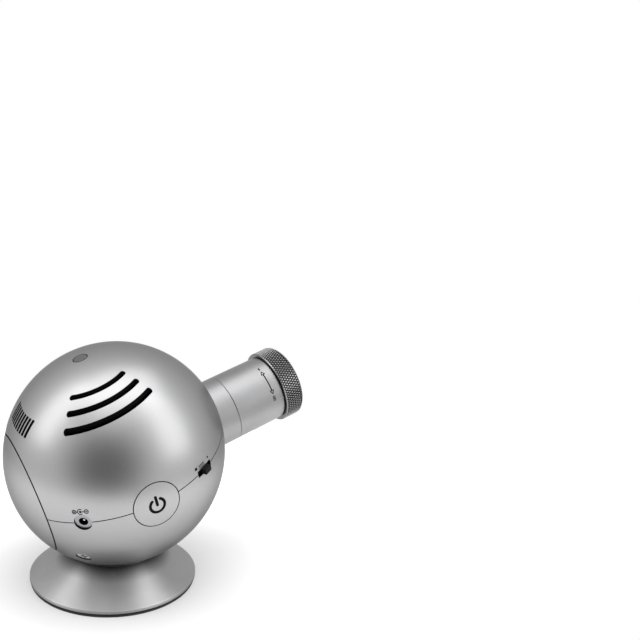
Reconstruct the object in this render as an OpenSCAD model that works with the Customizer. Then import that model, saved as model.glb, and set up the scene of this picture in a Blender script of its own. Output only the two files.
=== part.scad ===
// Projection alarm clock: a ball with a focusing tube, resting on a turned foot.
// Millimetres, +Z up. The origin is the centre of the foot's bottom face and the tube points
// towards +X. Everything in the ball is drawn level, about the ball's centre, with the optical
// axis along +X and the parting plane of its shells flat; in_ball() then rolls and tilts it.

/* [Ball] */
// Outer diameter of the ball
ball_d = 120; // [114:1:126]
// Wall of the two ball shells and the rear cover
shell_wall = 2.2; // [2:0.1:2.6]
// Height of the ball's lowest point above the table
ball_clear = 11.9; // [11.5:0.1:14]
// How far the tube points up at rest, degrees
tilt = 19.8; // [0:0.1:40]
// How far the ball is rolled about its tube at rest, degrees
roll = 10.8; // [-12:0.1:12]
// Height of the shells' parting plane above the ball's centre
seam_z = 4; // [2:0.5:6]
// Depth of the rear cover, from its joint line to the back of the ball
cover_depth = 9.8; // [9:0.1:10.6]
// Open joint line between shells, cover and buttons
joint_gap = 0.5; // [0.3:0.05:0.5]
// Clearance between pieces that are set into each other
fit_gap = 0.3; // [0.2:0.05:0.4]
// Radial clearance of turning and sliding fits
run_gap = 0.08; // [0.05:0.01:0.1]

/* [Optical tube] */
// Outer diameter of the tube
tube_d = 39; // [37:0.5:40]
// Wall of the tube
tube_wall = 2; // [1.8:0.1:2.4]
// How far the optical axis lies below the ball's centre
tube_drop = 6.5; // [5:0.5:8]
// How far the line between root collar and barrel lies in front of the ball
collar_out = 8.9; // [7:0.1:10]
// Length of the barrel in front of that line
barrel_len = 30.5; // [28:0.1:34]
// Dark groove between barrel and focus ring
ring_groove = 1.2; // [1:0.1:1.5]
// Diameter of the focus ring
ring_d = 43.5; // [43:0.5:46]
// Length of the focus ring
ring_len = 11.7; // [11.4:0.1:14]
// Travel of the lens carrier to each side
focus_travel = 1.6; // [1:0.1:1.6]
// Diameter of the lenses
lens_d = 27; // [25:0.5:27.5]
// Thickness of the front lens at its middle
lens_thick = 6; // [5:0.5:7]

/* [Controls] */
// Diameter of the power button
button_d = 23.3; // [22:0.1:25]
// How far the power button's centre lies below the shells' parting plane
button_drop = 1.1; // [0:0.1:1.6]
// Bearing of the power button, seen from above, degrees from the tube
button_angle = -93; // [-96:1:-90]
// Travel of the buttons
button_travel = 1; // [0.6:0.1:1.2]
// Bearing of the slide switch
switch_angle = -62.8; // [-64:0.1:-60]
// Length and height of the slide switch's slot
switch_slot = [11.2, 3.6]; // [3:0.1:12]
// Travel of the slide switch to each side of its middle
switch_travel = 2; // [1:0.1:2.4]
// Bearing of the supply socket
jack_angle = -128; // [-131:1:-125]
// Diameter of the supply socket's hole
jack_d = 4.6; // [4.4:0.1:5.4]
// Diameter of the supply socket's collar
collar_d = 8.6; // [8:0.1:9.6]
// Place of the snooze button on the ball, along and across the tube
snooze_at = [-3.8, 3]; // [-10:0.1:10]
// Diameter of the snooze button
snooze_d = 7.2; // [7:0.1:10]

/* [Vents] */
// Plan radii of the three curved sound slots
sound_radii = [24.8, 32.1, 38.8]; // [24:0.1:40]
// Centre of the sound slots behind the ball's centre
sound_back = 4; // [2:0.5:6]
// Width of a sound slot
sound_width = 2.7; // [2.4:0.1:3.2]
// Bearing of the sound slots' middle, degrees from the tube
sound_angle = -93; // [-96:1:-90]
// Half of the angle that a sound slot spans, degrees
sound_half = 34; // [30:1:35]
// How much further back each sound slot reaches than the one inside it, degrees
sound_grow = 1.4; // [0:0.1:1.6]
// Number of upright air slots over the rear cover
air_count = 9; // [5:2:9]
// Distance from one air slot to the next
air_pitch = 2.8; // [2.4:0.1:3]
// Width of an air slot
air_width = 1.9; // [1.2:0.1:2]
// Height of the air slots' lower end above the ball's centre
air_low = 38.3; // [38:0.1:40]
// Height of an air slot
air_height = 7; // [5:0.5:8]

/* [Clock] */
// Diameter of the dial
dial_d = 34; // [32:1:36]
// How far the dial's face lies behind the ball's front
dial_depth = 27; // [26:0.1:27.5]
// Thickness of the dial
dial_thick = 1; // [0.8:0.1:1.2]
// Width of the quartz movement
movement_w = 44; // [40:1:46]
// Depth of the quartz movement
movement_depth = 11; // [10:0.5:13]
// Diameter and length of the backup cell
cell_size = [14.2, 50.2]; // [10:0.1:52]

/* [Foot] */
// Diameter of the foot
base_d = 91.8; // [88:0.2:96]
// Height of the foot's upright rim
rim_height = 2.2; // [2:0.1:3]
// Diameter of the foot's neck under the ball
neck_d = 48; // [46:0.5:50]
// Thickness of the soft pad under the foot
pad_thick = 1.2; // [1:0.1:1.6]
// Wall of the foot
base_wall = 2.4; // [2:0.1:3]

/* [Hidden] */
$fn = 96;

// Ball
ball_r = ball_d / 2;
skin_r = ball_r - shell_wall;            // inside of the shells
rear_x = ball_r - cover_depth;           // joint line of the rear cover
step_r = ball_r - shell_wall / 2;        // step inside the joint lines
ball_z = ball_clear + ball_r;
lip = 1.6;                               // how far the shells' inner lip reaches past the joint
rear_open_r = sqrt(pow(skin_r, 2) - pow(rear_x, 2));
over = 1;                                // how far cuts run past a face
far = 3 * ball_r;

// Optical tube, all places along it from the ball's centre
tube_r = tube_d / 2;
tube_in = tube_r - tube_wall;            // inside of the barrel
spigot_r = tube_in - run_gap;            // the collar's spigot inside the barrel
spigot_len = 8;
collar_end = ball_r + collar_out;        // line between root collar and barrel
edge_bevel = 0.25;                       // broken edges at that line
collar_in = spigot_r - 1.8;              // light path through the collar
barrel_end = collar_end + barrel_len;
ring_start = barrel_end + ring_groove;
ring_end = ring_start + ring_len;
ring_r = ring_d / 2;
neck_in = lens_d / 2 + 2.4;              // bore that the lens carrier slides in
neck_out = neck_in + 1.6;                // the barrel's neck that the focus ring turns on
dial_x = ball_r - dial_depth;            // face of the dial
flange_r = 26.5;
flange_x = [dial_x + 10, dial_x + 13];   // the collar's flange inside the shells
rib_end = flange_x[1] + 3.9;
collar_screw_at = [19.3, -14.3];         // the collar's screws beside and below the optical axis
collar_screw_len = 7.6;

// Lens carrier
carrier_r = neck_in - run_gap;
carrier_bore = lens_d / 2 + 0.15;
pin_d = 2;                               // drive pins between carrier and focus ring
pin_slot = 2 * focus_travel + pin_d + 0.4;
ring_land = 1.4;                         // the ring's bearing behind its inner groove
ring_pocket = pin_slot + 0.6;            // length of that groove
clip_land = 1;
carrier_mid = ring_start + ring_land + ring_pocket / 2;
clip_x = carrier_mid + ring_pocket / 2 + clip_land + 0.1;
clip_thick = 0.8;
neck_end = clip_x + clip_thick + 1;
pocket_r = neck_out + 1.7;
carrier_x = [carrier_mid - 13, neck_end - focus_travel - 0.6];
ledge_in = carrier_bore - 1.4;
front_curve = 28;                        // radii of the lenses' round faces
rear_curve = 34;
rear_lens_thick = 5;
rear_vertex = carrier_x[0] + 1.25 - sag(rear_curve, ledge_in);
rear_flat = rear_vertex + rear_lens_thick;
spacer_len = 5;
front_flat = rear_flat + spacer_len + 0.1;
front_vertex = front_flat + lens_thick;
retainer_x = front_vertex - sag(front_curve, ledge_in) + 0.1;

// Clock unit, from the dial backwards
frame_thick = 2;
frame_front = dial_x - dial_thick;
frame_back = frame_front - frame_thick;
move_front = frame_back;
move_back = move_front - movement_depth;
pillar_pcd_r = flange_r - 3.2;
pillar_r = 1.9;
frame_r = pillar_pcd_r + 2.6;
led_thick = 1.6;
led_front = flange_x[0];
led_back = led_front - led_thick;
led_ring = [collar_in + 0.6, pillar_pcd_r - pillar_r - 0.6];
led_pcd_r = 17.8;
led_height = 1.6;
led_size = 2.8;
led_count = 8;
reflector_r = [led_ring[1] - 1.3, led_ring[1] - 0.2];
bush_r = 3.2;                            // the movement's threaded bush
nut_af = 9;
hour_x = dial_x + 2.4;
minute_x = hour_x + 1.4;
second_x = minute_x + 1.3;
hand_thick = 0.4;
hour_angle = 5;                          // where the hands stand, degrees past twelve
minute_angle = 60;
second_angle = 183;

// Rear control panel
panel_x = [10.2 - rear_x, 12 - rear_x];
panel_r = 0.64 * ball_r;
knob_face = panel_x[0] - 5.8;
knob_r = [7, 6];                         // time and alarm knob
shaft_r = 1.6;
alarm_at = [17, -10];                    // the alarm shaft across and above the ball's centre
cell_z = 11;
side_boss = [ball_r - 16, ball_r - 6.7]; // the panel's screw bosses, from the ball's centre
side_boss_r = 3.8;
side_cup = 1.8;                          // depth of the side screws' round recess
catch_y = [-22, 18];                     // the upper shell's catches across the panel
tray_wall = 1.6;
contact_w = 10;                          // width of the cell's contact plates
tray_w = cell_size[1] + 2 * tray_wall + 4.4;
tray_h = cell_size[0] + 2 * tray_wall + 0.8;
tray_depth = cell_size[0] + tray_wall + 0.6;
cell_x = panel_x[0] + cell_size[0] / 2 + 0.3;

sound_bulge = 0.06;                      // the sound slots' round ends are this much wider

// Boards and controls
board_top = seam_z - 4;
board_thick = 1.6;
board_r = skin_r - 7.4;
board_inner = 0.517 * ball_r;            // the board's straight inner edge
board_x = [-0.6 * ball_r, 0.51 * ball_r];
board_screw_at = ball_r * [[-0.25, -0.617], [0.15, -0.667], [0.458, -0.558]];
board_screw_len = 8;
buzzer_r = 6;
buzzer_height = 9;
button_r = button_d / 2;
button_flange = [button_r + 1, 1.2];
button_front = sqrt(pow(skin_r - 0.5, 2) - pow(button_flange[0] + seam_z - button_drop, 2));
button_back = button_front - button_flange[1];
power_switch_front = button_back - 5.4;
power_switch_depth = 4;
buzzer_at = [-0.067 * ball_r, power_switch_depth + buzzer_r + 0.7 - power_switch_front];
plunger = 2.4;
shutter = [15.4, 5.4, 0.8];              // the mode knob's sliding plate behind its slot
shutter_front = sqrt(pow(skin_r - 0.3, 2) - pow(shutter[0] / 2 + switch_travel, 2)
  - pow(seam_z + shutter[1] / 2, 2));
switch_face = shutter_front - shutter[2] - 0.2;
switch_body = [12.6, 8.3];               // width and depth of the slide switch
knob_w = 4.6;
knob_out = 2.2;
jack_face = ball_r - 1;                  // the collar ends a little inside the ball's surface
jack_body = [9, 12.6];                   // width and depth of the socket's body
jack_back = ball_r - 18;
jack_pin_r = 0.8;
snooze_r = snooze_d / 2;
snooze_dir = [snooze_at[0], snooze_at[1], sqrt(pow(ball_r, 2) - pow(norm(snooze_at), 2))];
snooze_front = sqrt(pow(skin_r - 0.4, 2) - pow(snooze_r + 1.2, 2));
snooze_seat = ball_r - 15;               // top of the snooze board
snooze_post = 7.5;
side_screw_dir = [-40.5, 37.1, -24];     // direction of the side screws from the ball's centre
side_lug = (side_boss[0] + 6) / norm(side_screw_dir) * side_screw_dir;
side_cup_r = 4;
shell_screw_at = ball_r * [[0.608, 0.517], [0.608, -0.517]];
shell_seat_z = seam_z - 12;              // where the shell screws' heads sit
shell_post_r = 4.4;

// Foot
pad_top = pad_thick;
plate_thick = 1;
rim_z = pad_top + 0.2;
rim_bevel = 0.3;
cone_sag = 0.5;                          // how far the foot's cone is hollowed
rim_top = rim_z + rim_height;
base_r = base_d / 2;
neck_r = neck_d / 2;
neck_z = ball_z - sqrt(pow(ball_r, 2) - pow(neck_r, 2)) - 0.6;
ring_well_r = neck_r - 3.6;
ring_out = ring_well_r - run_gap;
well_floor = ball_clear - 4;
seat_in = 15.2;
seat_out = ring_out - 0.9;
seat_floor = ball_clear - 0.2;
floor_low = well_floor - base_wall;
plate_top = rim_z + plate_thick;
ballast_r = [0.5 * base_r, 0.66 * base_r];
ballast_height = 3;
base_screw_at = neck_r - 6;              // the bottom plate's screws, from the middle

// How far a round face of radius r has curved back at a distance from its middle.
function sag(r, at) = r - sqrt(r * r - at * at);

// ---------- shared shapes ----------

// Puts the level ball into its place on the foot.
module in_ball() {
  translate([0, 0, ball_z]) rotate([0, -tilt, 0]) rotate([roll, 0, 0]) children();
}

// Local Z becomes the optical axis, starting x in front of the ball's centre.
module on_tube(x) {
  translate([x, 0, -tube_drop]) rotate([0, 90, 0]) children();
}

// Local Z points out of the ball in the parting plane, at a bearing; local X points down.
module at_seam(bearing) {
  translate([0, 0, seam_z]) rotate([0, 0, bearing]) rotate([0, 90, 0]) children();
}

// Local Z points out of the ball through the middle of the power button.
module at_button() {
  at_seam(button_angle) translate([button_drop, 0, 0]) children();
}

// Local Z points out of the ball through a point's direction.
module towards(p) {
  rotate([0, acos(p[2] / norm(p)), atan2(p[1], p[0])]) children();
}

// A ring or disc between two places along local Z.
module band(z, r, hole = 0) {
  translate([0, 0, z[0]]) difference() {
    cylinder(h = z[1] - z[0], r = r);
    if (hole > 0) translate([0, 0, -over]) cylinder(h = z[1] - z[0] + 2 * over, r = hole);
  }
}

// A rounded plate in the XY plane.
module rounded(size, r, h) {
  linear_extrude(h) union() {
    square([size[0] - 2 * r, size[1]], center = true);
    square([size[0], size[1] - 2 * r], center = true);
    for (x = [-1, 1]) for (y = [-1, 1])
      translate([x * (size[0] / 2 - r), y * (size[1] / 2 - r)]) circle(r = r);
  }
}

// A sphere about the ball's centre, turned so that no joint or rib crosses its own meridian.
module ball(r) {
  rotate([0, 0, 90]) sphere(r = r);
}

// Everything above or below a height.
module above(z) { translate([-far, -far, z]) cube([2 * far, 2 * far, far]); }
module below(z) { translate([-far, -far, z - far]) cube([2 * far, 2 * far, far]); }

// Everything in front of or behind a place along the ball's axis.
module ahead(x) { translate([x, -far, -far]) cube([far, 2 * far, 2 * far]); }
module behind(x) { translate([x - far, -far, -far]) cube([far, 2 * far, 2 * far]); }

// ---------- foot ----------

// The foot's outline: upright rim, slightly hollow cone, neck.
function cone_point(t) = [
  base_r - rim_bevel + t * (neck_r - base_r + rim_bevel),
  rim_top + (neck_z - 0.4 - rim_top) * t - cone_sag * sin(180 * t)
];
base_steps = 12;
hollow_r = neck_r + 2;                   // the ballast's room ends here, beside the well
hollow_top = cone_point((base_r - hollow_r) / (base_r - neck_r))[1] - 1.25 * base_wall;

// Puts something at each of the bottom plate's three screws.
module base_screw_places() {
  for (a = [30:120:270]) rotate([0, 0, a]) translate([base_screw_at, 0, 0]) children();
}

module base_dish() {
  color("silver") difference() {
    rotate_extrude() polygon(concat(
      [[0, rim_z], [base_r - 0.5, rim_z], [base_r, rim_z + 0.5], [base_r, rim_top - rim_bevel]],
      [for (i = [0:base_steps]) cone_point(i / base_steps)],
      [[neck_r - 0.4, neck_z], [0, neck_z]]
    ));
    band([well_floor, neck_z + over], ring_well_r);
    translate([0, 0, ball_z]) sphere(r = ball_r + 0.5);
    // hollow for the ballast and recess for the bottom plate
    rotate_extrude() polygon([
      [0, rim_z - over], [base_r - 2, rim_z - over], [base_r - 2, plate_top],
      [base_r - 6, plate_top], [hollow_r, hollow_top], [neck_r - 1, floor_low], [0, floor_low]
    ]);
    translate([0, 0, rim_z]) cylinder(h = neck_z, r = 1.5);
  }
  // screw bosses for the bottom plate
  color("silver") base_screw_places() difference() {
    translate([0, 0, plate_top + 0.2]) cylinder(h = floor_low - plate_top, r = 3);
    translate([0, 0, rim_z]) cylinder(h = 5, r = 1);
  }
}

module base_plate() {
  color("dimgray") difference() {
    band([pad_top, plate_top], base_r - 2.3);
    base_screw_places() cylinder(h = 2 * plate_top, r = 1.5);
  }
}

module base_ballast() {
  color("gray") band([plate_top, plate_top + ballast_height], ballast_r[1], ballast_r[0]);
}

module base_screws() {
  color("silver") base_screw_places() {
    band([pad_top - 0.7, pad_top], 2.4);
    band([pad_top - 0.1, floor_low - 0.2], 0.95);
  }
}

module foot_pad() {
  color([0.07, 0.07, 0.07]) difference() {
    cylinder(h = pad_top, r = base_r - 0.5);
    base_screw_places() translate([0, 0, -over]) cylinder(h = 2 * pad_top + over, r = 2.7);
  }
}

module pivot_screw() {
  color("silver") {
    band([floor_low - 1, well_floor + 2.2], 1.4);
    band([well_floor, well_floor + 2.2], 3);
    band([well_floor + 2.1, well_floor + 3.2], 4.6);
  }
}

module swivel_ring() {
  color([0.12, 0.12, 0.12]) difference() {
    rotate_extrude() polygon([
      [3 + run_gap, well_floor + 0.2], [ring_out, well_floor + 0.2], [ring_out, neck_z - 0.9],
      [seat_out + 0.15, neck_z - 0.9], [seat_out + 0.15, seat_floor - 0.1],
      [seat_in - 0.15, seat_floor - 0.1], [seat_in - 1.4, well_floor + 1.8],
      [3 + run_gap, well_floor + 1.8]
    ]);
    translate([0, 0, ball_z]) sphere(r = ball_r + fit_gap);
  }
}

module seat_pad() {
  color([0.1, 0.1, 0.1]) difference() {
    band([seat_floor, neck_z], seat_out, seat_in);
    translate([0, 0, ball_z]) sphere(r = ball_r + fit_gap - 0.05);
  }
}

// ---------- ball shells ----------

module side_screws() {
  for (s = [-1, 1]) towards([side_screw_dir[0], s * side_screw_dir[1], side_screw_dir[2]])
    children();
}

// The curved sound slots, cut straight down through the upper shell.
module sound_slots() {
  translate([-sound_back, 0, 0]) for (i = [0:2]) {
    start = sound_angle - sound_half - (i - 1) * sound_grow;
    end = sound_angle + sound_half;
    rotate([0, 0, start]) rotate_extrude(angle = end - start)
      translate([sound_radii[i] - sound_width / 2, ball_r / 3]) square([sound_width, ball_r]);
    for (a = [start, end]) rotate([0, 0, a]) translate([sound_radii[i], 0, ball_r / 3])
      cylinder(h = ball_r, d = sound_width + sound_bulge);
  }
}

module air_slots() {
  for (i = [0:air_count - 1])
    translate([-ball_r - over, (i - (air_count - 1) / 2) * air_pitch - air_width / 2, air_low])
      cube([ball_r / 2, air_width, air_height]);
}

// Holes that the joint line runs through: tube, power button, switch and socket.
module seam_holes() {
  on_tube(skin_r / 2) cylinder(h = ball_r, r = tube_r + fit_gap);
  at_button() translate([0, 0, ball_r / 2])
    cylinder(h = ball_r, r = button_r + joint_gap);
  at_seam(switch_angle) translate([-switch_slot[1] / 2, -switch_slot[0] / 2, ball_r / 2])
    cube([switch_slot[1], switch_slot[0], ball_r]);
  at_seam(jack_angle) translate([0, 0, ball_r / 2])
    cylinder(h = ball_r, d = collar_d + fit_gap);
}

// Ribs around the tube's opening, in front of the collar's flange.
module tube_ribs() {
  on_tube(flange_x[1] + fit_gap) cylinder(h = rib_end - flange_x[1], r = ball_r);
}

module upper_shell() in_ball() color("silver") difference() {
  union() {
    difference() {
      ball(ball_r);
      ball(skin_r);
    }
    intersection() {
      ball(step_r);
      union() {
        tube_ribs();
        // posts that the shell screws bite into
        for (p = shell_screw_at) translate([p[0], p[1], 0]) cylinder(h = ball_r, r = 3.4);
        // catches before and behind the control panel's top edge
        for (y = catch_y) for (x = [panel_x[0] - 2.6, panel_x[1] + fit_gap])
          translate([x, y, panel_r - 9]) cube([2.3, 4, 20]);
        // posts for the snooze board, with the pins that it is staked on
        towards(snooze_dir) for (s = [-1, 1]) translate([s * snooze_post, 0, 0]) {
          translate([0, 0, snooze_seat]) cylinder(h = 20, r = 1.6);
          translate([0, 0, snooze_seat - 1.8]) cylinder(h = 10, r = 0.8);
        }
      }
    }
  }
  below(seam_z + joint_gap / 2);
  // room for the lower shell's lip
  intersection() {
    below(seam_z + lip + fit_gap);
    difference() {
      ball(step_r);
      ball(skin_r - 0.6);
    }
  }
  behind(-rear_x + joint_gap / 2);
  seam_holes();
  sound_slots();
  air_slots();
  towards(snooze_dir) translate([0, 0, skin_r - 3]) cylinder(h = 10, r = snooze_r + joint_gap);
  for (p = shell_screw_at) translate([p[0], p[1], 0]) cylinder(h = seam_z + 12, r = 1.55);
}

module lower_shell() in_ball() color("silver") difference() {
  union() {
    difference() {
      ball(ball_r);
      ball(skin_r);
    }
    intersection() {
      ball(step_r);
      below(seam_z - joint_gap / 2);
      union() {
        tube_ribs();
        // posts for the shell screws
        for (p = shell_screw_at) translate([p[0], p[1], -ball_r])
          cylinder(h = far, r = shell_post_r);
        // posts for the main board
        for (p = board_screw_at) translate([p[0], p[1], -ball_r])
          cylinder(h = ball_r + board_top - board_thick, r = 2.8);
        // thick rounds under the side screws' recesses
        side_screws() translate([0, 0, side_boss[1] + fit_gap])
          cylinder(h = 10, r = side_cup_r + 1.4);
      }
    }
  }
  difference() {
    above(seam_z - joint_gap / 2);
    ball(step_r - 0.1);
  }
  above(seam_z + lip);
  behind(-rear_x + joint_gap / 2);
  seam_holes();
  side_screws() {
    translate([0, 0, ball_r - side_cup]) cylinder(h = 10, r = side_cup_r);
    translate([0, 0, ball_r / 2]) cylinder(h = ball_r, r = 1.65);
  }
  for (p = shell_screw_at) translate([p[0], p[1], -ball_r]) {
    cylinder(h = ball_r + shell_seat_z, r = 3);
    cylinder(h = far, r = 1.65);
  }
  for (p = board_screw_at) translate([p[0], p[1], board_top - board_screw_len - 1])
    cylinder(h = 20, r = 1.1);
  for (s = [-1, 1]) on_tube(flange_x[0]) translate([-collar_screw_at[1], s * collar_screw_at[0], 0])
    cylinder(h = collar_screw_len + 0.4, r = 1.1);
}

module shell_screws() in_ball() color("silver") for (p = shell_screw_at)
  translate([p[0], p[1], 0]) {
    band([shell_seat_z - 2, shell_seat_z], 2.7);
    band([shell_seat_z - 0.1, seam_z + 10], 1.5);
  }

// ---------- rear control panel and cover ----------

module rear_panel() in_ball() color([0.16, 0.16, 0.17]) difference() {
  union() {
    translate([panel_x[0], 0, 0]) rotate([0, 90, 0])
      cylinder(h = panel_x[1] - panel_x[0], r = panel_r);
    translate([panel_x[0], -tray_w / 2, cell_z - tray_h / 2]) cube([tray_depth, tray_w, tray_h]);
    side_screws() translate([0, 0, side_boss[0]])
      cylinder(h = side_boss[1] - side_boss[0], r = side_boss_r);
    // lugs that carry the screw bosses
    for (s = [-1, 1]) translate([panel_x[0], s * side_lug[1], side_lug[2]]) rotate([0, 90, 0])
      cylinder(h = side_lug[0] - panel_x[0] + 4, r = 3.4);
  }
  translate([panel_x[0] - 10, -tray_w / 2 + tray_wall, cell_z - tray_h / 2 + tray_wall])
    cube([tray_depth + 10 - tray_wall, tray_w - 2 * tray_wall, tray_h - 2 * tray_wall]);
  side_screws() {
    cylinder(h = far, r = 1.55);
    translate([0, 0, side_boss[1]]) cylinder(h = far, r = side_cup_r + 1.4 + fit_gap);
  }
  on_tube(-far) cylinder(h = far, r = shaft_r + run_gap);
  translate([-far, alarm_at[0], alarm_at[1]]) rotate([0, 90, 0])
    cylinder(h = far, r = shaft_r + run_gap);
}

module panel_screws() in_ball() color("silver") side_screws() difference() {
  union() {
    band([side_boss[0] + 1, ball_r - side_cup + 0.1], 1.5);
    band([ball_r - side_cup, ball_r - side_cup + 1.2], side_cup_r - 0.5);
  }
  for (a = [0, 90]) rotate([0, 0, a]) translate([-2, -0.5, ball_r - side_cup + 0.5])
    cube([4, 1, 5]);
}

module rear_cover() in_ball() color("silver") {
  difference() {
    sphere(r = ball_r);
    sphere(r = skin_r);
    ahead(-rear_x - joint_gap / 2);
  }
  // lip that plugs into the shells' opening
  intersection() {
    sphere(r = step_r);
    translate([-rear_x - 3.6, 0, 0]) rotate([0, 90, 0])
      band([0, 7.4], rear_open_r - fit_gap, rear_open_r - fit_gap - 2.2);
  }
}

// A setting knob with its long shaft, from the panel to the movement's back.
module setting_knob(at, r) {
  translate([0, at[0], at[1]]) rotate([0, 90, 0]) {
    difference() {
      band([knob_face, panel_x[0] - fit_gap], r);
      for (a = [0:30:330]) rotate([0, 0, a]) translate([r + 0.4, 0, knob_face - over])
        cylinder(h = 20, r = 1);
    }
    band([panel_x[0] - 2, move_back - fit_gap], shaft_r);
  }
}

module time_knob() in_ball() color([0.85, 0.85, 0.85]) setting_knob([0, -tube_drop], knob_r[0]);
module alarm_knob() in_ball() color([0.75, 0.2, 0.15]) setting_knob(alarm_at, knob_r[1]);

module battery_cell() in_ball() color("goldenrod")
  translate([cell_x, 0, cell_z]) rotate([90, 0, 0]) {
    band([-cell_size[1] / 2, cell_size[1] / 2 - 1.4], cell_size[0] / 2);
    band([cell_size[1] / 2 - 1.5, cell_size[1] / 2], 2.7);
  }

module battery_contacts() in_ball() color("silver") translate([cell_x, 0, cell_z]) {
  tray_end = tray_w / 2 - tray_wall;
  for (y = [-tray_end, tray_end - 0.5])
    translate([-contact_w / 2, y, -contact_w / 2]) cube([contact_w, 0.5, contact_w]);
  // spring at the flat end, stud at the other
  rotate([-90, 0, 0]) band([cell_size[1] / 2 + 0.1, tray_end - 0.4], 3.4, 2.4);
  rotate([90, 0, 0]) band([cell_size[1] / 2 + 0.1, tray_end - 0.4], 2);
}

// ---------- optical tube ----------

module tube_collar() in_ball() color([0.75, 0.75, 0.76]) difference() {
  on_tube(0) rotate_extrude() polygon([
    [collar_in, flange_x[0]], [flange_r, flange_x[0]], [flange_r, flange_x[1]],
    [tube_r, flange_x[1]], [tube_r, collar_end - edge_bevel], [tube_r - edge_bevel, collar_end],
    [spigot_r, collar_end], [spigot_r, collar_end + spigot_len],
    [collar_in, collar_end + spigot_len]
  ]);
  for (s = [-1, 1]) on_tube(flange_x[0] - over)
    translate([-collar_screw_at[1], s * collar_screw_at[0], 0])
      cylinder(h = flange_x[1] - flange_x[0] + 2 * over, r = 1.3);
}

module collar_screws() in_ball() color("silver") for (s = [-1, 1])
  on_tube(0) translate([-collar_screw_at[1], s * collar_screw_at[0], 0]) {
    band([flange_x[0] - 1.2, flange_x[0]], 1.9);
    band([flange_x[0] - 0.1, flange_x[0] + collar_screw_len], 1.05);
  }

module tube_barrel() in_ball() color([0.75, 0.75, 0.76]) on_tube(0) difference() {
  rotate_extrude() polygon([
    [tube_in, collar_end + 0.05], [tube_r - edge_bevel, collar_end + 0.05],
    [tube_r, collar_end + 0.05 + edge_bevel], [tube_r, barrel_end], [neck_out, barrel_end],
    [neck_out, neck_end], [neck_in, neck_end], [neck_in, barrel_end - 2.5],
    [tube_in, barrel_end - 2.5]
  ]);
  // axial slots for the lens carrier's drive pins
  for (a = [0:120:240]) rotate([0, 0, a]) translate([0, -pin_d / 2 - 0.15, 0])
    translate([0, 0, carrier_mid - pin_slot / 2]) cube([ring_r, pin_d + 0.3, pin_slot]);
  // groove for the clip that holds the focus ring
  band([clip_x, clip_x + clip_thick + 0.1], ring_r, neck_out - 0.7);
}

module ring_clip() in_ball() color([0.2, 0.2, 0.2]) on_tube(0) difference() {
  band([clip_x + 0.05, clip_x + clip_thick], neck_out + 1.2, neck_out - 0.65);
  translate([-2, 0, clip_x - over]) cube([4, ring_r, 4]);
}

module friction_washer() in_ball() color([0.08, 0.08, 0.08]) on_tube(0)
  band([barrel_end, ring_start - 0.05], neck_out + 1.3, neck_out + 0.1);

// The knurled ring that is turned to focus.
module focus_ring() in_ball() color([0.45, 0.45, 0.46]) on_tube(0) difference() {
  rotate_extrude() polygon([
    [neck_out + run_gap, ring_start], [ring_r - 1, ring_start], [ring_r, ring_start + 1],
    [ring_r, ring_end - 1.6], [ring_r - 1.6, ring_end],
    [pocket_r, ring_end], [pocket_r, clip_x - 0.1], [neck_out + run_gap, clip_x - 0.1]
  ]);
  band([ring_start + ring_land, ring_start + ring_land + ring_pocket], pocket_r);
}

module lens_carrier() in_ball() color([0.1, 0.1, 0.1]) on_tube(0) {
  difference() {
    band(carrier_x, carrier_r, ledge_in);
    band([carrier_x[0] + 1.2, carrier_x[1] + over], carrier_bore);
  }
  for (a = [0:120:240]) rotate([0, 0, a]) translate([carrier_bore + 1, 0, carrier_mid])
    rotate([0, 90, 0]) cylinder(h = pocket_r - carrier_bore - 1.3, d = pin_d);
}

// A lens with one flat face: round face towards +Z.
module flat_lens(flat, thick, curve) {
  intersection() {
    translate([0, 0, flat]) cylinder(h = thick, d = lens_d);
    translate([0, 0, flat + thick - curve]) sphere(r = curve, $fn = 180);
  }
}

module front_lens() in_ball() color([0.8, 0.9, 0.95, 0.5]) on_tube(0)
  flat_lens(front_flat, lens_thick, front_curve);

module rear_lens() in_ball() color([0.8, 0.9, 0.95, 0.5]) on_tube(rear_flat) mirror([0, 0, 1])
  flat_lens(0, rear_lens_thick, rear_curve);

module lens_spacer() in_ball() color([0.1, 0.1, 0.1]) on_tube(0)
  band([rear_flat + 0.05, rear_flat + spacer_len + 0.05], lens_d / 2, ledge_in);

module lens_retainer() in_ball() color([0.1, 0.1, 0.1]) on_tube(0) difference() {
  band([retainer_x, retainer_x + 1.8], carrier_bore - 0.05, ledge_in);
  translate([-1, -lens_d, retainer_x + 1]) cube([2, 2 * lens_d, 2]);
}

// ---------- clock ----------

module clock_frame() in_ball() color("gray") on_tube(0) difference() {
  band([frame_back, frame_front], frame_r, bush_r + 0.1);
  for (a = [0:90:270]) rotate([0, 0, a]) translate([pillar_pcd_r, 0, frame_back - over])
    cylinder(h = 6, r = 1.05);
}

// Standoffs between the clock frame and the collar's flange, each riveted into the frame.
module frame_pillars() in_ball() color("silver") on_tube(0) for (a = [0:90:270])
  rotate([0, 0, a]) translate([pillar_pcd_r, 0, 0]) {
    band([frame_front, flange_x[0]], pillar_r);
    band([frame_back + 0.2, frame_front + 0.1], 1);
  }

module movement() in_ball() color([0.13, 0.13, 0.14]) on_tube(0) difference() {
  union() {
    translate([0, 0, move_back]) rounded([movement_w, movement_w], 4, movement_depth);
    band([move_front - 0.1, dial_x + 1.9], bush_r);
  }
  band([move_front - 2, dial_x + 5], 2);
}

module movement_nut() in_ball() color("goldenrod") on_tube(0) difference() {
  translate([0, 0, dial_x + 0.05]) cylinder(h = 1.5, d = nut_af / cos(30), $fn = 6);
  translate([0, 0, dial_x - over]) cylinder(h = 6, r = bush_r + 0.05);
}

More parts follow.
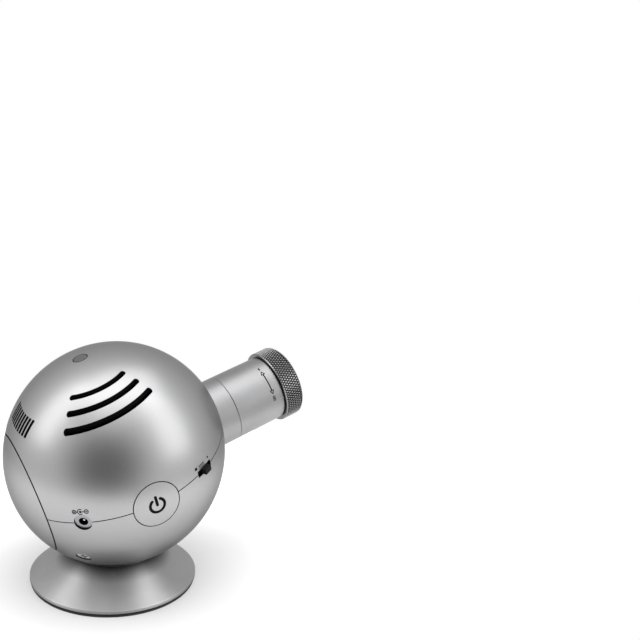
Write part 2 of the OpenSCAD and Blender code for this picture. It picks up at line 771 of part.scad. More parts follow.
// Black dial with an upright mark for each hour.
module dial() in_ball() color([0.06, 0.06, 0.06]) on_tube(0) difference() {
  union() {
    band([frame_front, dial_x], dial_d / 2);
    for (h = [1:12]) rotate([0, 0, 30 * h])
      translate([dial_d / 2 - 3.4, -0.4, dial_x - 0.2]) cube([2.6, 0.8, 0.35]);
  }
  translate([0, 0, frame_front - over]) cylinder(h = 6, r = bush_r + 0.1);
}

// A hand: hub, tapered blade and tail. The lens turns the picture over, so the hand's angle,
// clockwise from twelve on the wall, runs from the tube's lower side.
module hand(x, angle, reach, width, tail, hub) {
  translate([0, 0, x]) rotate([0, 0, angle]) linear_extrude(hand_thick) union() {
    polygon([[-tail, -width / 3], [-tail, width / 3], [0, width / 2.2], [reach * 0.55, width / 2],
      [reach, 0.12], [reach, -0.12], [reach * 0.55, -width / 2], [0, -width / 2.2]]);
    circle(r = hub);
  }
}

module hour_hand() in_ball() color([0.8, 0.05, 0.05]) on_tube(0) difference() {
  union() {
    hand(hour_x, hour_angle, dial_d * 0.27, 1.9, 2.2, 2.6);
    band([move_front - 1, hour_x + 0.1], 1.9);
  }
  band([move_front - 2, hour_x + 3], 1.3);
}

module minute_hand() in_ball() color([0.8, 0.05, 0.05]) on_tube(0) difference() {
  union() {
    hand(minute_x, minute_angle, dial_d * 0.41, 1.5, 3, 2);
    band([move_front - 1.5, minute_x + 0.1], 1.2);
  }
  band([move_front - 2, minute_x + 3], 0.6);
}

module second_hand() in_ball() color([0.8, 0.05, 0.05]) on_tube(0) {
  hand(second_x, second_angle, dial_d * 0.44, 0.5, 5, 1.1);
  band([move_front - 1.8, second_x + 0.1], 0.5);
}

module led_board() in_ball() color([0.1, 0.3, 0.15]) on_tube(0)
  band([led_back, led_front], led_ring[1], led_ring[0]);

module leds() in_ball() color([0.9, 0.1, 0.1]) on_tube(0) for (i = [0:led_count - 1])
  rotate([0, 0, (i + 0.5) * 360 / led_count])
    translate([led_pcd_r - led_size / 2, -led_size / 2, led_back - led_height])
      cube([led_size, led_size, led_height]);

module reflector() in_ball() color("white") on_tube(0)
  band([frame_front + 0.05, led_back - 0.05], reflector_r[1], reflector_r[0]);

// ---------- boards and controls ----------

module main_board() in_ball() color([0.1, 0.35, 0.2]) difference() {
  intersection() {
    translate([0, 0, board_top - board_thick]) cylinder(h = board_thick, r = board_r);
    translate([board_x[0], -ball_r, -ball_r])
      cube([board_x[1] - board_x[0], ball_r - board_inner, far]);
  }
  for (p = board_screw_at) translate([p[0], p[1], -ball_r]) cylinder(h = far, r = 1.3);
}

module board_screws() in_ball() color("silver") for (p = board_screw_at)
  translate([p[0], p[1], 0]) {
    band([board_top, board_top + 1.5], 2.3);
    band([board_top - board_screw_len, board_top + 0.1], 1.05);
  }

module dc_jack() in_ball() color([0.5, 0.5, 0.51]) at_seam(jack_angle) difference() {
  union() {
    translate([-jack_body[0] / 2, -jack_body[0] / 2, jack_back])
      cube([seam_z - board_top + jack_body[0] / 2, jack_body[0], jack_body[1]]);
    band([jack_back + jack_body[1] - 0.6, jack_face], collar_d / 2);
  }
  band([jack_back + 3, far], jack_d / 2);
}

module jack_pin() in_ball() color("silver") at_seam(jack_angle) {
  band([jack_back + 3, jack_face - 1.6], jack_pin_r);
  translate([0, 0, jack_face - 1.6]) sphere(r = jack_pin_r);
}

// Switch behind the power button.
module power_switch() in_ball() color([0.1, 0.1, 0.1]) at_seam(button_angle) {
  translate([-3, -3, power_switch_front - power_switch_depth])
    cube([seam_z - board_top + 3, 6, power_switch_depth]);
  band([power_switch_front - 0.1, power_switch_front + plunger], 1.7);
}

module power_button() in_ball() color("silver") {
  at_button() {
    intersection() {
      band([button_back, ball_r + 5], button_r);
      translate([seam_z - button_drop, 0, 0]) ball(ball_r);
    }
    band([button_back, button_front], button_flange[0]);
  }
  at_seam(button_angle)
    band([power_switch_front + plunger + button_travel + 0.15, button_back + 0.1], 2);
}

module mode_switch() in_ball() color([0.15, 0.15, 0.15]) at_seam(switch_angle)
  translate([-3.4, -switch_body[0] / 2, switch_face - switch_body[1]])
    cube([seam_z - board_top + 3.4, switch_body[0], switch_body[1]]);

module mode_knob() in_ball() color([0.05, 0.05, 0.05]) at_seam(switch_angle) {
  translate([-shutter[1] / 2, -shutter[0] / 2, shutter_front - shutter[2]])
    cube([shutter[1], shutter[0], shutter[2]]);
  translate([-switch_slot[1] / 2 + fit_gap, -knob_w / 2, shutter_front - 0.1])
    cube([switch_slot[1] - 2 * fit_gap, knob_w, ball_r + knob_out - shutter_front + 0.1]);
}

module buzzer() in_ball() color([0.1, 0.1, 0.1]) translate([buzzer_at[0], buzzer_at[1], 0])
  difference() {
    band([board_top, board_top + buzzer_height], buzzer_r);
    band([board_top + buzzer_height - 2, board_top + buzzer_height + over], 1);
  }

module snooze_board() in_ball() color([0.1, 0.35, 0.2]) towards(snooze_dir) difference() {
  translate([-snooze_post - 2.5, -4, snooze_seat - 1.2]) cube([2 * snooze_post + 5, 8, 1.2]);
  for (s = [-1, 1]) translate([s * snooze_post, 0, snooze_seat - 3]) cylinder(h = 6, r = 0.9);
}

module snooze_switch() in_ball() color([0.1, 0.1, 0.1]) towards(snooze_dir) {
  translate([-3, -3, snooze_seat]) cube([6, 6, 3.5]);
  band([snooze_seat + 3.4, snooze_seat + 4.9], 1.7);
}

module snooze_button() in_ball() color([0.55, 0.55, 0.56]) towards(snooze_dir) {
  intersection() {
    band([snooze_front - 1, ball_r + 5], snooze_r);
    ball(ball_r);
  }
  band([snooze_front - 1, snooze_front], snooze_r + 1.2);
  band([snooze_seat + 4.9 + button_travel + 0.15, snooze_front - 0.9], 1.6);
}

base_dish();
base_plate();
base_ballast();
base_screws();
foot_pad();
pivot_screw();
swivel_ring();
seat_pad();
upper_shell();
lower_shell();
shell_screws();
rear_panel();
panel_screws();
tube_collar();
collar_screws();
tube_barrel();
ring_clip();
friction_washer();
clock_frame();
frame_pillars();
movement();
movement_nut();
dial();
led_board();
leds();
reflector();
main_board();
board_screws();
dc_jack();
jack_pin();
power_switch();
mode_switch();
buzzer();
snooze_board();
snooze_switch();
battery_cell();
battery_contacts();
power_button();
snooze_button();
mode_knob();
rear_cover();
time_knob();
alarm_knob();
hour_hand();
minute_hand();
second_hand();
focus_ring();
lens_carrier();
front_lens();
rear_lens();
lens_spacer();
lens_retainer();
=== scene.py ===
"""Looks of the projection alarm clock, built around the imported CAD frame. Metres, +Z up."""

import math

import bpy
from mathutils import Matrix, Vector

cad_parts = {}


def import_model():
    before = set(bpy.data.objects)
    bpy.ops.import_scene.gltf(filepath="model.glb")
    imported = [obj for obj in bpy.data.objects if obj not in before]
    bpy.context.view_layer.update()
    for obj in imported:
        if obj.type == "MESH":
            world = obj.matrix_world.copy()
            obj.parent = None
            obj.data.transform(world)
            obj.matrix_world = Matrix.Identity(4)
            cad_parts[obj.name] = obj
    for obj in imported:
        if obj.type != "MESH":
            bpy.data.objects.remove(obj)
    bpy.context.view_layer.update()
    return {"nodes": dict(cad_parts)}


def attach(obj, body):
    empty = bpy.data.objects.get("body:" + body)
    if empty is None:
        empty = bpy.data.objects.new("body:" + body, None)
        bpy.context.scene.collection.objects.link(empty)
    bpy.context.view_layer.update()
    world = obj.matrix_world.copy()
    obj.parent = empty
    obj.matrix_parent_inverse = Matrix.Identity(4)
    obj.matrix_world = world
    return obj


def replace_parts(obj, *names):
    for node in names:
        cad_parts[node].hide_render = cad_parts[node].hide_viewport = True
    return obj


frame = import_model()
nodes = frame["nodes"]

MM = 0.001
UP = Vector((0, 0, 1))

# ---------- places, as the CAD has them ----------

BALL_R = 60.0 * MM
BALL_CENTRE = Vector((0, 0, 71.9 * MM))
TILT = math.radians(19.8)
ROLL = math.radians(10.8)
IN_BALL = (
    Matrix.Translation(BALL_CENTRE)
    @ Matrix.Rotation(-TILT, 4, "Y")
    @ Matrix.Rotation(ROLL, 4, "X")
)
BALL_X = (IN_BALL.to_3x3() @ Vector((1, 0, 0))).normalized()
TUBE_DROP = 6.5 * MM  # how far the optical axis lies below the ball's centre
TUBE_R = 19.5 * MM
SWITCH_BEARING = -62.8  # bearings round the ball, in degrees from the tube
BUTTON_BEARING = -93.0
JACK_BEARING = -128.0
DIAL_X = 33.0 * MM


def on_tube(x, radius, angle):
    """A point beside the optical axis; the angle runs from the tube's upper side towards -Y."""
    return IN_BALL @ Vector(
        (x, -radius * math.sin(angle), radius * math.cos(angle) - TUBE_DROP)
    )


def on_ball(radius, bearing, along, height):
    """A point on the ball at a height over its middle, some way along from a bearing."""
    flat = math.sqrt(radius * radius - height * height)
    b = math.radians(bearing) + along / flat
    return IN_BALL @ Vector((flat * math.cos(b), flat * math.sin(b), height))


# ---------- node graphs ----------


def grey(level):
    """A colour without hue."""
    return (level, level, level)


def tone(colour, amount):
    """A colour made lighter or darker by a share."""
    return tuple(max(0.0, min(1.0, c * (1 + amount))) for c in colour)


class Graph:
    """Adds nodes to a tree; each method gives back the socket that holds its result."""

    def __init__(self, tree, space):
        self.tree = tree
        tree.nodes.clear()
        self.place = self.add("ShaderNodeTexCoord").outputs[space]

    def add(self, kind):
        """A new node."""
        return self.tree.nodes.new(kind)

    def put(self, socket, value):
        """Gives a socket a link or a constant."""
        if isinstance(value, bpy.types.NodeSocket):
            self.tree.links.new(value, socket)
        elif socket.type == "RGBA":
            socket.default_value = (*value[:3], 1)
        else:
            socket.default_value = value

    def math(self, operation, a, b):
        """Arithmetic on two numbers, each a socket or a constant."""
        node = self.add("ShaderNodeMath")
        node.operation = operation
        self.put(node.inputs[0], a)
        self.put(node.inputs[1], b)
        return node.outputs[0]

    def measure(self, operation, vector=None):
        """A number from the place that is shaded and, for some operations, a second vector."""
        node = self.add("ShaderNodeVectorMath")
        node.operation = operation
        self.put(node.inputs[0], self.place)
        if vector is not None:
            self.put(node.inputs[1], vector)
        return node.outputs["Value"]

    def span(self, value, reach, result=(0.0, 1.0)):
        """Lays a value's run from one end of reach to the other over the ends of result."""
        node = self.add("ShaderNodeMapRange")
        self.put(node.inputs["Value"], value)
        for socket, end in zip(("From Min", "From Max", "To Min", "To Max"), reach + result):
            self.put(node.inputs[socket], end)
        return node.outputs["Result"]

    def ramp(self, factor, stops):
        """A colour ramp: stops are (place, colour)."""
        node = self.add("ShaderNodeValToRGB")
        elements = node.color_ramp.elements
        while len(elements) < len(stops):
            elements.new(0.5)
        for element, (place, colour) in zip(elements, stops):
            element.position = place
            element.color = (*colour, 1)
        self.put(node.inputs[0], factor)
        return node.outputs[0]

    def mix(self, factor, a, b, blend="MIX"):
        """Mixes two colours, each a socket or an rgb value."""
        node = self.add("ShaderNodeMix")
        node.data_type = "RGBA"
        node.blend_type = blend
        for index, value in ((0, factor), (6, a), (7, b)):
            self.put(node.inputs[index], value)
        return node.outputs[2]

    def seen(self):
        """1 on rays that show a surface: from the camera, from glossy metal and through glass."""
        path = self.add("ShaderNodeLightPath")
        total = path.outputs["Is Camera Ray"]
        for kind in ("Is Glossy Ray", "Is Transmission Ray"):
            total = self.math("MAXIMUM", total, path.outputs[kind])
        return total


class Paint(Graph):
    """The graph of a material round one Principled shader."""

    def __init__(self, name):
        self.mat = bpy.data.materials.new(name)
        self.mat.use_nodes = True
        super().__init__(self.mat.node_tree, "Object")
        self.shader = self.add("ShaderNodeBsdfPrincipled")
        out = self.add("ShaderNodeOutputMaterial")
        self.put(out.inputs["Surface"], self.shader.outputs[0])

    def set(self, **values):
        """Sets the shader's sockets, named with _ for each space."""
        for key, value in values.items():
            self.put(self.shader.inputs[key.replace("_", " ")], value)

    def noise(self, scale, detail=2.0):
        """Noise from 0 to 1."""
        node = self.add("ShaderNodeTexNoise")
        node.inputs["Scale"].default_value = scale
        node.inputs["Detail"].default_value = detail
        self.put(node.inputs["Vector"], self.place)
        return node.outputs["Fac"]

    def lines(self, scale, along):
        """Noise from 0 to 1 that changes only along a direction."""
        node = self.add("ShaderNodeTexNoise")
        node.noise_dimensions = "1D"
        node.inputs["Scale"].default_value = scale
        node.inputs["Detail"].default_value = 3
        self.put(node.inputs["W"], self.measure("DOT_PRODUCT", along))
        return node.outputs["Fac"]

    def mottled(self, factor, colour, vary, low=0.3, high=0.7):
        """A colour made darker where a factor is low and lighter where it is high."""
        return self.ramp(factor, [(low, tone(colour, -vary)), (high, tone(colour, vary))])

    def uneven(self, factor, middle, spread):
        """A value that a factor shifts down or up by half a spread."""
        return self.math("ADD", self.math("MULTIPLY", factor, spread), middle - spread / 2)

    def bump(self, height, strength, distance):
        """A normal that a height tilts; distance is the height's full size."""
        node = self.add("ShaderNodeBump")
        node.inputs["Strength"].default_value = strength
        node.inputs["Distance"].default_value = distance
        self.put(node.inputs["Height"], height)
        return node.outputs[0]

    def crest(self):
        """How high a point of the knurl stands, from 0 to 1, as its mesh says."""
        node = self.add("ShaderNodeAttribute")
        node.attribute_name = CREST
        return node.outputs["Fac"]

    def openness(self, distance):
        """1 in the open, less where another surface is nearer than a distance."""
        node = self.add("ShaderNodeAmbientOcclusion")
        node.inputs["Distance"].default_value = distance
        return node.outputs["AO"]

    def round_z(self):
        """The tangent that runs round the Z axis."""
        node = self.add("ShaderNodeTangent")
        node.direction_type = "RADIAL"
        node.axis = "Z"
        return node.outputs[0]


# ---------- materials ----------

SILVER = (0.44, 0.44, 0.445)
SILVER_EDGE = grey(0.3)  # tint of the metals at a grazing view
TUBE_EDGE = grey(0.75)
GROOVE_SHADE = grey(0.04)  # painted shade in the knurl's grooves
GROOVE_SHADE_STOPS = ((0.3, grey(0)), (0.8, grey(1)))  # painted groove shade: height of the knurl, share of its plain colour
BARE_AND_SHADE = grey(0.006)  # the lacquered pieces where no lacquer is, and painted shade deep in the panel screw and the supply socket
BARE_ROUGHNESS = 0.62
LACQUER_METALLIC = 0.92
CONTACT_SHADE = 12 * MM  # how near the ball the foot gets its painted contact shadow
CONTACT_SHADE_STOPS = ((0.3, grey(0.03)), (0.8, grey(1)))  # painted contact shadow: openness, share of the plain colour
CREST = "crest"  # the knurl's mesh attribute
CARD = grey(0.016)  # the dial
PALE = (0.82, 0.82, 0.78)  # its print and the hands
PRINT_RISE = 0.05 * MM  # height of the print over the dial


def grained(name, colour, roughness, grain, depth, vary, metallic=0.0, coat=0.0, shine=0.5):
    """Plastic, rubber or cast metal: mottled colour, uneven gloss and a fine grain."""
    n = Paint(name)
    cloud = n.noise(grain / 12, detail=4.0)
    n.set(
        Base_Color=n.mottled(cloud, colour, vary, low=0.25, high=0.75),
        Metallic=metallic,
        Roughness=n.uneven(cloud, roughness, spread=0.12),
        Normal=n.bump(n.noise(grain), strength=0.35, distance=depth * MM),
        Coat_Weight=coat,
        Specular_IOR_Level=shine,
    )
    return n.mat


def turned(name, colour, roughness, rings, axis, edge=SILVER_EDGE, drawn_and_shaded=0.0, groove_shade=None):
    """Lathe-turned metal with fine rings round an axis.

    The drawn amount stretches the highlights by its amount, and also paints a contact shadow: the
    metal's colour darkens near other surfaces, where shade falls;
    the groove colour is painted shade in the grooves of a knurl, darker where the knurl stands
    lower.
    """
    n = Paint(name)
    lines = n.lines(rings, axis)
    cloud = n.noise(60.0, detail=4.0)
    skin = n.mottled(cloud, colour, vary=0.06, low=0.25, high=0.75)
    if groove_shade:
        # painted shade: the knurl's colour darkens where it stands low
        skin = n.mix(n.ramp(n.crest(), GROOVE_SHADE_STOPS), groove_shade, skin)
    if drawn_and_shaded:
        # painted contact shadow: the colour darkens where the ball comes near
        skin = n.mix(1, skin, n.ramp(n.openness(CONTACT_SHADE), CONTACT_SHADE_STOPS), blend="MULTIPLY")
        n.set(Tangent=n.round_z(), Anisotropic=drawn_and_shaded, Anisotropic_Rotation=0.25)
    n.set(
        Base_Color=skin,
        Metallic=1.0,
        Specular_Tint=edge,
        Roughness=n.uneven(lines, roughness, spread=0.14),
        Normal=n.bump(lines, strength=0.3, distance=0.004 * MM),
    )
    return n.mat


def lacquered(name, colour, roughness, inside, edge=SILVER_EDGE):
    """Silver metallic lacquer over moulded plastic, bare and dark nearer the ball's centre; on the
    panel screw and the supply socket this dark part is painted shade in the slot and the bore.
    """
    n = Paint(name)
    flake = n.noise(2600.0, detail=1.0)
    cloud = n.noise(22.0, detail=3.0)
    paint = n.mix(0.5, n.mottled(flake, colour, vary=0.07), n.mottled(cloud, colour, vary=0.02))
    # where the lacquer ends the colour goes dark: bare plastic on the shells and the key, painted
    # shade on the screw and the jack
    coated_unshaded = n.math("GREATER_THAN", n.measure("DISTANCE", BALL_CENTRE), inside)
    smoother = n.math("MULTIPLY", coated_unshaded, BARE_ROUGHNESS - roughness)
    n.set(
        Base_Color=n.mix(coated_unshaded, BARE_AND_SHADE, paint),
        Metallic=n.math("MULTIPLY", coated_unshaded, LACQUER_METALLIC),
        Specular_Tint=edge,
        Specular_IOR_Level=0.1,
        Roughness=n.math("SUBTRACT", BARE_ROUGHNESS, smoother),
        Normal=n.bump(flake, strength=0.12, distance=0.006 * MM),
    )
    return n.mat


def glass(name, tint):
    """Coated lens glass with a faint smear."""
    n = Paint(name)
    smear = n.noise(90.0, detail=3.0)
    n.set(
        Base_Color=n.mottled(smear, tint, vary=0.02),
        Transmission_Weight=1.0,
        IOR=1.5,
        Roughness=n.uneven(smear, 0.03, spread=0.02),
        Coat_Weight=0.6,
        Coat_Tint=(0.72, 0.6, 0.95),
    )
    return n.mat


def dial_print(name):
    """The dial: black card whose raised hour marks are pale."""
    n = Paint(name)
    face = BALL_X.dot(IN_BALL @ Vector((DIAL_X, 0, 0)))
    raised = n.math("GREATER_THAN", n.measure("DOT_PRODUCT", BALL_X), face + PRINT_RISE)
    cloud = n.noise(300.0, detail=3.0)
    n.set(
        Base_Color=n.mix(raised, n.mottled(cloud, CARD, vary=0.25), PALE),
        Roughness=n.uneven(cloud, 0.65, spread=0.2),
        Normal=n.bump(cloud, strength=0.2, distance=0.01 * MM),
    )
    return n.mat


# grain is how fine it is, depth its height in mm, vary the share by which the colour changes
GRAINED = {
    "steel": dict(
        colour=(0.5, 0.5, 0.51), roughness=0.32, grain=1400, depth=0.01, vary=0.06, metallic=1.0),
    "bright_steel": dict(
        colour=(0.86, 0.86, 0.87), roughness=0.14, grain=1800, depth=0.003, vary=0.03,
        metallic=1.0),
    "cast": dict(
        colour=grey(0.12), roughness=0.6, grain=700, depth=0.06, vary=0.25, metallic=0.9),
    "rubber": dict(colour=grey(0.02), roughness=0.75, grain=1100, depth=0.04, vary=0.2),
    "black_plastic": dict(
        colour=(0.022, 0.022, 0.024), roughness=0.45, grain=1500, depth=0.03, vary=0.12),
    "inner_black": dict(
        colour=grey(0.008), roughness=0.7, grain=1500, depth=0.02, vary=0.12, shine=0.12),
    "grained_grey": dict(
        colour=(0.13, 0.13, 0.135), roughness=0.5, grain=1300, depth=0.06, vary=0.3, metallic=0.5),
    "white_plastic": dict(
        colour=(0.8, 0.8, 0.79), roughness=0.4, grain=1500, depth=0.02, vary=0.03),
    "red_plastic": dict(
        colour=(0.5, 0.03, 0.02), roughness=0.35, grain=1500, depth=0.02, vary=0.08),
    "board": dict(
        colour=(0.02, 0.13, 0.05), roughness=0.3, grain=500, depth=0.02, vary=0.25, coat=0.4),
    "led": dict(
        colour=(0.7, 0.02, 0.01), roughness=0.2, grain=900, depth=0.01, vary=0.05, coat=0.5),
    "pale_paint": dict(colour=PALE, roughness=0.5, grain=1500, depth=0.01, vary=0.03),
    "cell_film": dict(
        colour=(0.42, 0.27, 0.06), roughness=0.25, grain=600, depth=0.01, vary=0.12,
        metallic=0.3, coat=0.5),
    "ink": dict(
        colour=grey(0.006), roughness=0.8, grain=3000, depth=0.004, vary=0.1, shine=0.1),
}

# rings is how fine the turning is
TURNED = {
    # the foot's drawn amount also paints a contact shadow under the ball
    "foot_metal": dict(colour=(0.6, 0.6, 0.605), roughness=0.5, rings=3800, axis=UP, drawn_and_shaded=0.9),
    "tube_metal": dict(
        colour=(0.35, 0.35, 0.355), roughness=0.44, rings=5200, axis=BALL_X, edge=TUBE_EDGE),
    # the ring's groove colour is painted shade in the knurl
    "ring_metal": dict(
        colour=(0.38, 0.38, 0.385), roughness=0.3, rings=4200, axis=BALL_X, groove_shade=GROOVE_SHADE),
    "brass": dict(colour=(0.72, 0.5, 0.2), roughness=0.25, rings=3000, axis=BALL_X),
}

# inside is the distance from the ball's centre up to which the piece is bare and dark; on jack_grey
# and screw_steel that dark is painted shade in the bore and the recess
LACQUERED = {
    "silver_shell": dict(colour=SILVER, roughness=0.36, inside=59.9 * MM),
    "silver_key": dict(colour=SILVER, roughness=0.36, inside=56.0 * MM),
    "jack_grey": dict(colour=(0.36, 0.36, 0.37), roughness=0.3, inside=58.85 * MM),
    "screw_steel": dict(colour=grey(0.95), roughness=0.16, inside=59.05 * MM, edge=TUBE_EDGE),
}

MATERIALS = {
    "lens_glass": glass("lens_glass", (0.93, 0.96, 0.98)),
    "dial": dial_print("dial"),
}
for kind, looks in ((grained, GRAINED), (turned, TURNED), (lacquered, LACQUERED)):
    for material, look in looks.items():
        MATERIALS[material] = kind(material, **look)

NODE_MATERIALS = {
    "silver_shell": ["upper_shell", "lower_shell", "rear_cover"],
    "silver_key": ["power_button"],
    "foot_metal": ["base_dish"],
    "tube_metal": ["tube_collar", "tube_barrel"],
    "ring_metal": ["focus_ring"],
    "steel": ["base_plate", "base_screws", "pivot_screw", "shell_screws", "collar_screws",
              "ring_clip", "clock_frame", "frame_pillars", "board_screws"],
    "bright_steel": ["jack_pin", "battery_contacts"],
    "screw_steel": ["panel_screws"],
    "cast": ["base_ballast"],
    "rubber": ["foot_pad", "seat_pad", "friction_washer"],
    "black_plastic": ["swivel_ring", "rear_panel", "movement", "buzzer"],
    "inner_black": ["power_switch", "mode_switch", "mode_knob", "snooze_switch", "lens_carrier",
                    "lens_spacer", "lens_retainer"],
    "grained_grey": ["snooze_button"],
    "jack_grey": ["dc_jack"],
    "white_plastic": ["reflector", "time_knob"],
    "red_plastic": ["alarm_knob"],
    "board": ["main_board", "led_board", "snooze_board"],
    "led": ["leds"],
    "pale_paint": ["hour_hand", "minute_hand", "second_hand"],
    "brass": ["movement_nut"],
    "cell_film": ["battery_cell"],
    "lens_glass": ["front_lens", "rear_lens"],
    "dial": ["dial"],
}

for material, members in NODE_MATERIALS.items():
    for member in members:
        mesh = nodes[member].data
        mesh.materials.clear()
        mesh.materials.append(MATERIALS[material])

# ---------- mesh building ----------


def piece(name, verts, faces, material, body, smooth=None):
    """A mesh piece that rides on a body; smooth is the angle in degrees that still shades round."""
    mesh = bpy.data.meshes.new(name)
    mesh.from_pydata([tuple(v) for v in verts], [], faces)
    mesh.update()
    mesh.materials.append(MATERIALS[material])
    obj = bpy.data.objects.new(name, mesh)
    bpy.context.scene.collection.objects.link(obj)
    if smooth is not None:
        mesh.shade_smooth()
        mesh.set_sharp_from_angle(angle=math.radians(smooth))
    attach(obj, body)
    return obj


def unit(from_point, to_point):
    """The direction between two surface points, with a length of 1."""
    du, dv = to_point[0] - from_point[0], to_point[1] - from_point[1]
    length = math.hypot(du, dv)
    return du / length, dv / length


class Inlay:
    """Printed strokes, thin raised strips that follow a curved surface."""

    THICK = 0.035 * MM
    STEP = 0.6 * MM  # longest straight run on a curve
    CAP_STEPS = 4
    ARC_STEP = 7  # degrees
    SPOT_STEPS = 12

    def __init__(self, place, mirrored=False):
        """place gives a point from u, v and height; mirrored says that it swaps left and right."""
        self.place = place
        self.mirrored = mirrored
        self.verts = []
        self.faces = []

    def strip(self, left, right):
        """A closed thin strip between two rows of surface coordinates."""
        count = len(left)
        first = len(self.verts)
        for row in (left, right):
            for height in (-self.THICK / 2, self.THICK):
                self.verts += [self.place(u, v, height) for u, v in row]
        lb, lt, rb, rt = (first + k * count for k in range(4))
        for i in range(count - 1):
            j = i + 1
            self.faces += [
                (rt + i, rt + j, lt + j, lt + i),
                (rb + j, rb + i, lb + i, lb + j),
                (lt + i, lt + j, lb + j, lb + i),
                (rt + j, rt + i, rb + i, rb + j),
            ]
        last = count - 1
        self.faces += [(rb, rt, lt, lb), (lt + last, rt + last, rb + last, lb + last)]

    def cap(self, end, inner, half, sign):
        """Points left and right of a stroke's round end, outwards from the end."""
        u, v = end
        du, dv = unit(inner, end)
        nu, nv = -dv * sign, du * sign
        left, right = [], []
        for k in range(1, self.CAP_STEPS):
            a = math.pi / 2 * k / self.CAP_STEPS
            reach, side = half * math.sin(a), half * math.cos(a)
            left.append((u + du * reach + nu * side, v + dv * reach + nv * side))
            right.append((u + du * reach - nu * side, v + dv * reach - nv * side))
        return left, right

    def stroke(self, points, width, round_ends=True):
        """A line through points, all in metres on the surface."""
        half = width / 2
        dense = []
        for (u0, v0), (u1, v1) in zip(points, points[1:]):
            steps = max(1, int(math.hypot(u1 - u0, v1 - v0) / self.STEP))
            dense += [(u0 + (u1 - u0) * k / steps, v0 + (v1 - v0) * k / steps)
                      for k in range(steps)]
        dense.append(points[-1])
        left, right = [], []
        for i, (u, v) in enumerate(dense):
            du, dv = unit(dense[max(0, i - 1)], dense[min(len(dense) - 1, i + 1)])
            left.append((u - dv * half, v + du * half))
            right.append((u + dv * half, v - du * half))
        if round_ends:
            start_left, start_right = self.cap(dense[0], dense[1], half, -1)
            end_left, end_right = self.cap(dense[-1], dense[-2], half, 1)
            left = start_left[::-1] + left + end_left
            right = start_right[::-1] + right + end_right
        self.strip(left, right)

    def arc(self, centre, radius, start, end, width, round_ends=True):
        """A round stroke; angles in degrees from the first axis."""
        steps = max(8, int(abs(end - start) / self.ARC_STEP))
        turns = [math.radians(start + (end - start) * k / steps) for k in range(steps + 1)]
        points = [(centre[0] + radius * math.cos(a), centre[1] + radius * math.sin(a))
                  for a in turns]
        self.stroke(points, width, round_ends)

    def spot(self, centre, radius):
        """A filled round spot."""
        left, right = [], []
        for k in range(self.SPOT_STEPS + 1):
            a = math.pi * k / self.SPOT_STEPS
            u, v = centre[0] - radius * math.cos(a), radius * math.sin(a)
            left.append((u, centre[1] + v))
            right.append((u, centre[1] - v))
        self.strip(left, right)

    def make(self, name, material, body):
        """Turns the strokes into one piece whose faces all look outwards."""
        faces = [face[::-1] for face in self.faces] if self.mirrored else self.faces
        piece(name, self.verts, faces, material, body)


def ball_print(bearing):
    """Surface coordinates: along the ball from a bearing, and height over its middle."""
    return lambda u, v, h: on_ball(BALL_R + h, bearing, u, v)


# ---------- printed marks ----------

SYMBOL_R = 3.7 * MM
SYMBOL_LINE = 1.45 * MM
SYMBOL_Z = 2.9 * MM
SYMBOL_ENDS = (124, 416)  # degrees, where its open ring starts and ends
SYMBOL_BAR = (0.2 * MM, 4.7 * MM)  # the bar's ends over the ring's middle


def power_symbol():
    """The open ring with a bar, on the power button."""
    power = Inlay(ball_print(BUTTON_BEARING))
    power.arc((0, SYMBOL_Z), SYMBOL_R, *SYMBOL_ENDS, SYMBOL_LINE)
    power.stroke([(0, SYMBOL_Z + end) for end in SYMBOL_BAR], SYMBOL_LINE)
    power.make("power_symbol", "ink", "power_key")


POLE_Z = 10.1 * MM
POLE_R = 0.95 * MM
POLE_X = 3.05 * MM
SIGN_HALF = 0.5 * MM  # half the length of a plus or minus sign's strokes
TIP_R = 1.35 * MM
TIP_ENDS = (50, 310)
TIP_LINE = 0.4 * MM
TIP_SPOT = 0.6 * MM
FINE = 0.42 * MM


def polarity_symbol():
    """The plug's polarity over the supply socket: plus, tip, minus."""
    polarity = Inlay(ball_print(JACK_BEARING))
    for x in (-POLE_X, POLE_X):
        polarity.arc((x, POLE_Z), POLE_R, 0, 360, FINE, False)
        polarity.stroke([(x - SIGN_HALF, POLE_Z), (x + SIGN_HALF, POLE_Z)], FINE, False)
    upright = [(-POLE_X, POLE_Z - SIGN_HALF), (-POLE_X, POLE_Z + SIGN_HALF)]
    plus_lead = [(-POLE_X + POLE_R, POLE_Z), (-TIP_R, POLE_Z)]
    minus_lead = [(0, POLE_Z), (POLE_X - POLE_R, POLE_Z)]
    for line in (upright, plus_lead, minus_lead):
        polarity.stroke(line, FINE, False)
    polarity.arc((0, POLE_Z), TIP_R, *TIP_ENDS, TIP_LINE, False)
    polarity.spot((0, POLE_Z), TIP_SPOT)
    polarity.make("polarity_symbol", "ink", "ball")


MARK_Z = 7.85 * MM
# start and end towards the tube, and width
MARK_BARS = ((21.2 * MM, 22.6 * MM, 1.5 * MM), (23.8 * MM, 27.8 * MM, 0.45 * MM))
MARK_SPOT_X = 31.1 * MM
MARK_SPOT_R = 0.55 * MM


def mark_place(x):
    """A mark's surface coordinates, from how far towards the tube it lies in the ball."""
    flat = math.sqrt(BALL_R**2 - MARK_Z**2)
    return flat * (-math.acos(x / flat) - math.radians(SWITCH_BEARING)), MARK_Z


def switch_marks():
    """Two bars and a spot over the mode switch."""
    marks = Inlay(ball_print(SWITCH_BEARING))
    for start, end, width in MARK_BARS:
        marks.stroke([mark_place(start), mark_place(end)], width, False)
    marks.spot(mark_place(MARK_SPOT_X), MARK_SPOT_R)
    marks.make("switch_marks", "ink", "ball")


